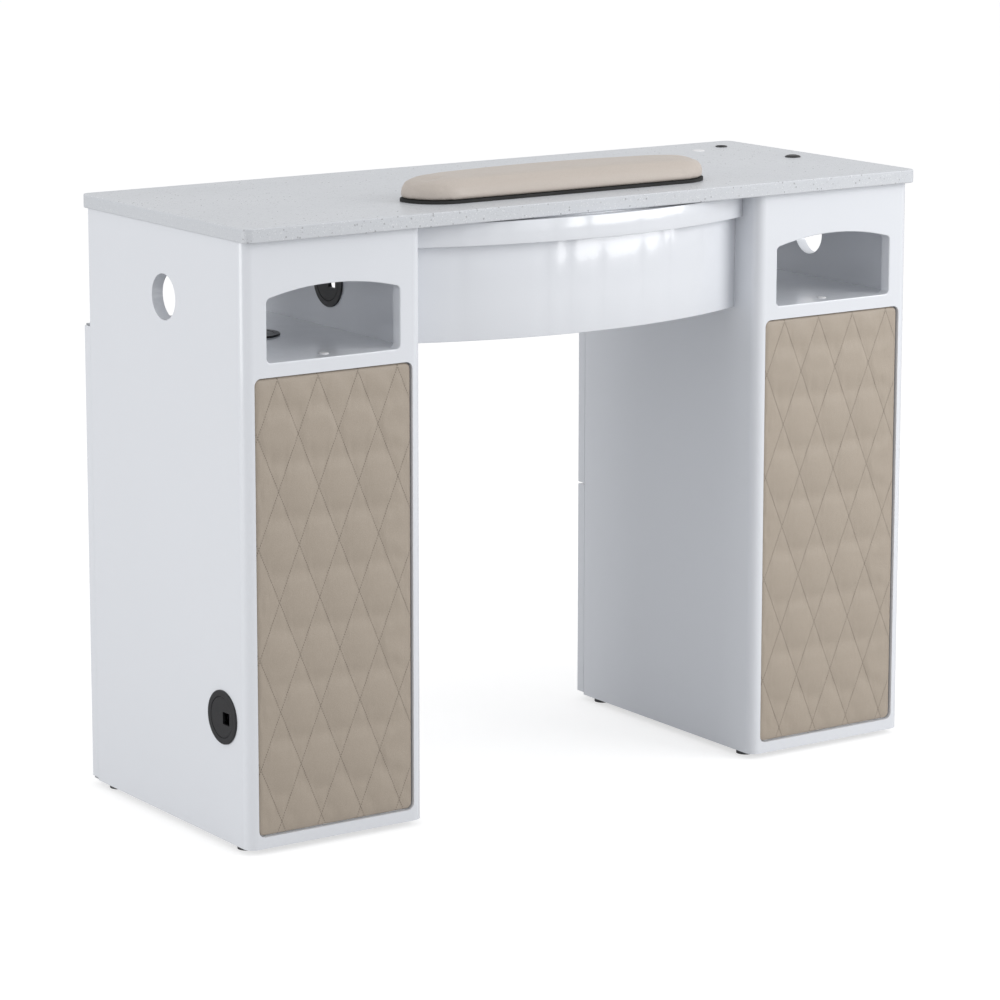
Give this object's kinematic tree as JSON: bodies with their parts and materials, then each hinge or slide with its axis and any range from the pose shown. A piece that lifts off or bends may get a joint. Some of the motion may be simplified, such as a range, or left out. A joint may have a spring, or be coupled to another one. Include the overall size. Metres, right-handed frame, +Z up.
{
  "type": "manicure table",
  "caption": "Two-pedestal manicure table with a stone top, bowed apron, arched cubbies, quilted leather front pads, a hinged door, stacked drawers and a loose half-moon wrist rest.",
  "frame": {"origin": "on the floor under the middle of the overall box", "axes": "+X along the table to the customer's right, -Y towards the customer, +Y towards the technician's door and drawers, +Z up"},
  "size_m": [1.07, 0.4579, 0.832],
  "materials": {
    "lacquer": "white gloss lacquer on 16 mm board",
    "quartz": "polished light grey engineered stone with fine specks",
    "leather": "taupe upholstery leather, quilted in diamonds on the pedestal pads",
    "black_plastic": "satin black",
    "glide_plastic": "dark grey nylon",
    "white_plastic": "white",
    "zinc_steel": "zinc plated",
    "melamine": "white melamine faced board",
    "handle_chrome": "polished",
    "rubber_base": "matt black",
    "hardboard": "white faced hardboard"
  },
  "bodies": {
    "table": {"worktop": "quartz", "lamp_socket": "black_plastic", "left_side_outer": "lacquer", "left_side_inner": "lacquer", "left_front_board": "lacquer", "left_cubby_floor": "lacquer", "left_sub_top": "lacquer", "left_bottom_board": "lacquer", "left_pad_panel": "leather", "right_side_outer": "lacquer", "right_side_inner": "lacquer", "right_front_board": "lacquer", "right_cubby_floor": "lacquer", "right_sub_top": "lacquer", "right_bottom_board": "lacquer", "right_pad_panel": "leather", "glides": "glide_plastic", "grommet_rings": "black_plastic", "apron_panel": "lacquer", "apron_rail": "lacquer", "stretcher": "melamine", "door_pivots": "zinc_steel", "door_catch": "white_plastic", "door_shelf": "melamine", "shelf_pins": "zinc_steel", "drawer_slides": "zinc_steel"},
    "door_leaf": {"door": "lacquer", "door_handle": "handle_chrome", "door_strike": "zinc_steel"},
    "lower_drawer": {"lower_drawer_front": "lacquer", "lower_drawer_sides": "melamine", "lower_drawer_back": "melamine", "lower_drawer_bottom": "hardboard", "lower_drawer_runners": "zinc_steel", "lower_drawer_handle": "handle_chrome"},
    "upper_drawer": {"upper_drawer_front": "lacquer", "upper_drawer_sides": "melamine", "upper_drawer_back": "melamine", "upper_drawer_bottom": "hardboard", "upper_drawer_runners": "zinc_steel", "upper_drawer_handle": "handle_chrome"},
    "wrist_rest": {"wrist_rest_base": "rubber_base", "wrist_rest_pad": "leather"},
    "plug": {"cable_plug": "black_plastic"},
    "blank": {"blanking_cap": "white_plastic"},
    "left_low_cap": {"left_low_grommet_cap": "black_plastic"},
    "left_inner_cap": {"left_inner_grommet_cap": "black_plastic"},
    "left_floor_cap": {"left_floor_grommet_cap": "black_plastic"},
    "right_low_cap": {"right_low_grommet_cap": "black_plastic"},
    "right_inner_cap": {"right_inner_grommet_cap": "black_plastic"},
    "right_floor_cap": {"right_floor_grommet_cap": "black_plastic"}
  },
  "joints": [
    {"name": "door_hinge", "type": "hinge", "parent": "table", "child": "door_leaf", "pos_m": [-0.526, 0.199, 0.318], "axis": [0, 0, 1], "range_deg": [0, 110]},
    {"name": "lower_drawer_slide", "type": "slide", "parent": "table", "child": "lower_drawer", "axis": [0, 1, 0], "range_m": [0, 0.26]},
    {"name": "upper_drawer_slide", "type": "slide", "parent": "table", "child": "upper_drawer", "axis": [0, 1, 0], "range_m": [0, 0.26]},
    {"name": "wrist_rest_lift", "type": "slide", "parent": "table", "child": "wrist_rest", "axis": [0, 0, 1], "range_m": [0, 0.1]},
    {"name": "cable_plug_lift", "type": "slide", "parent": "table", "child": "plug", "axis": [0, 0, 1], "range_m": [0, 0.04]},
    {"name": "blanking_cap_lift", "type": "slide", "parent": "table", "child": "blank", "axis": [0, 0, 1], "range_m": [0, 0.04]},
    {"name": "left_low_cap_pull", "type": "slide", "parent": "table", "child": "left_low_cap", "axis": [-1, 0, 0], "range_m": [0, 0.03]},
    {"name": "left_inner_cap_pull", "type": "slide", "parent": "table", "child": "left_inner_cap", "axis": [-1, 0, 0], "range_m": [0, 0.03]},
    {"name": "left_floor_cap_pull", "type": "slide", "parent": "table", "child": "left_floor_cap", "axis": [0, 0, 1], "range_m": [0, 0.03]},
    {"name": "right_low_cap_pull", "type": "slide", "parent": "table", "child": "right_low_cap", "axis": [1, 0, 0], "range_m": [0, 0.03]},
    {"name": "right_inner_cap_pull", "type": "slide", "parent": "table", "child": "right_inner_cap", "axis": [1, 0, 0], "range_m": [0, 0.03]},
    {"name": "right_floor_cap_pull", "type": "slide", "parent": "table", "child": "right_floor_cap", "axis": [0, 0, 1], "range_m": [0, 0.03]}
  ]
}
